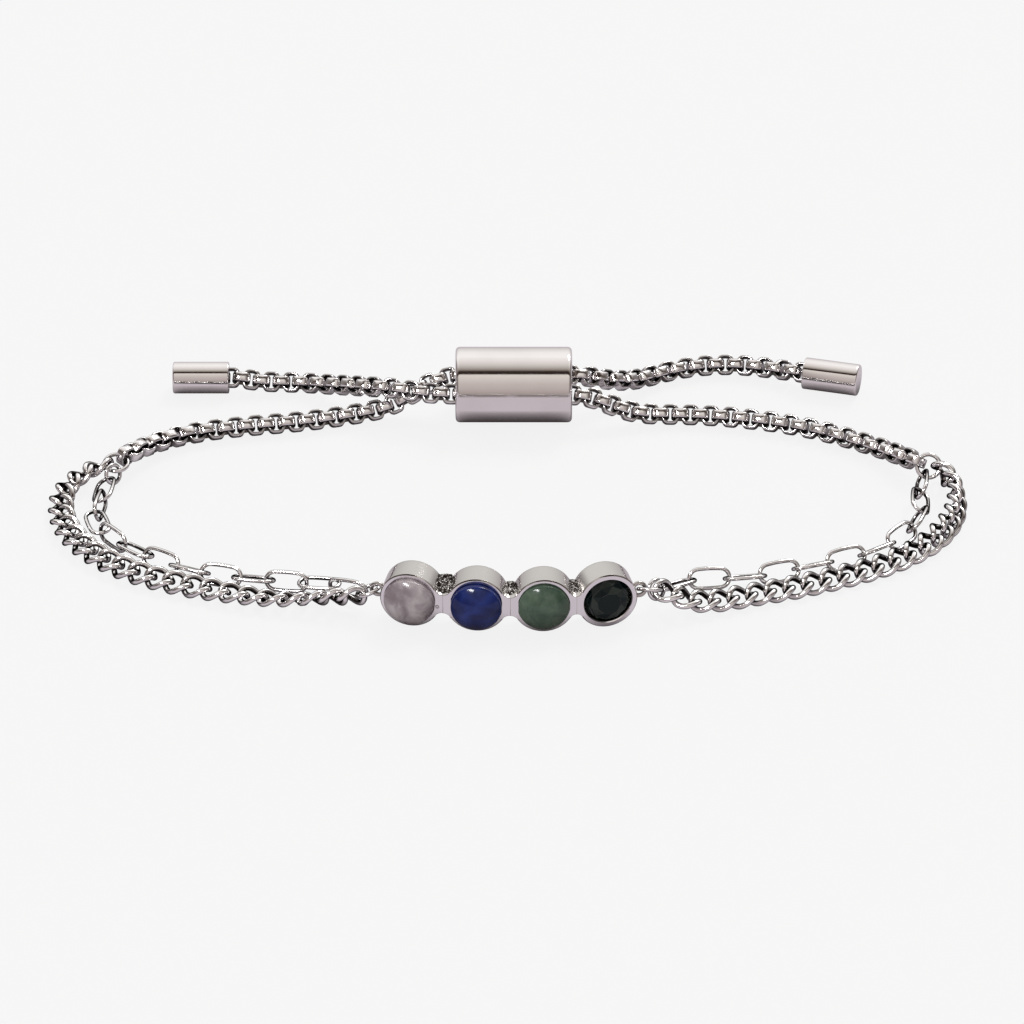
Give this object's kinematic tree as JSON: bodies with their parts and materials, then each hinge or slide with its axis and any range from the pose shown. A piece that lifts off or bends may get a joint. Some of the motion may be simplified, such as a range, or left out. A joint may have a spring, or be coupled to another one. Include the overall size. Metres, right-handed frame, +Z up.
{
  "type": "slider bracelet",
  "caption": "Adjustable slider bracelet with a bar of four round stone settings, double side chains and round box chains through a barrel slider.",
  "frame": {"origin": "middle of the bracelet's outline on the table it lies on", "axes": "+X along the bracelet's length, +Y from the stone bar to the slider, +Z up from the table"},
  "size_m": [0.0771, 0.0433, 0.0066],
  "materials": {
    "metal": "polished",
    "grey_stone": "gloss",
    "blue_stone": "gloss",
    "green_stone": "gloss",
    "dark_stone": "gloss"
  },
  "bodies": {
    "root": {"setting": "metal", "stone_grey": "grey_stone", "stone_blue": "blue_stone", "stone_green": "green_stone", "stone_dark": "dark_stone", "bar_ring_left": "metal", "bar_ring_right": "metal", "side_ring_left": "metal", "side_ring_right": "metal", "curb_chain_left": "metal", "curb_chain_right": "metal", "paperclip_chain_left": "metal", "paperclip_chain_right": "metal", "box_chain_left": "metal", "box_chain_right": "metal", "slider": "metal", "end_cap_left": "metal", "end_cap_right": "metal"}
  },
  "joints": []
}
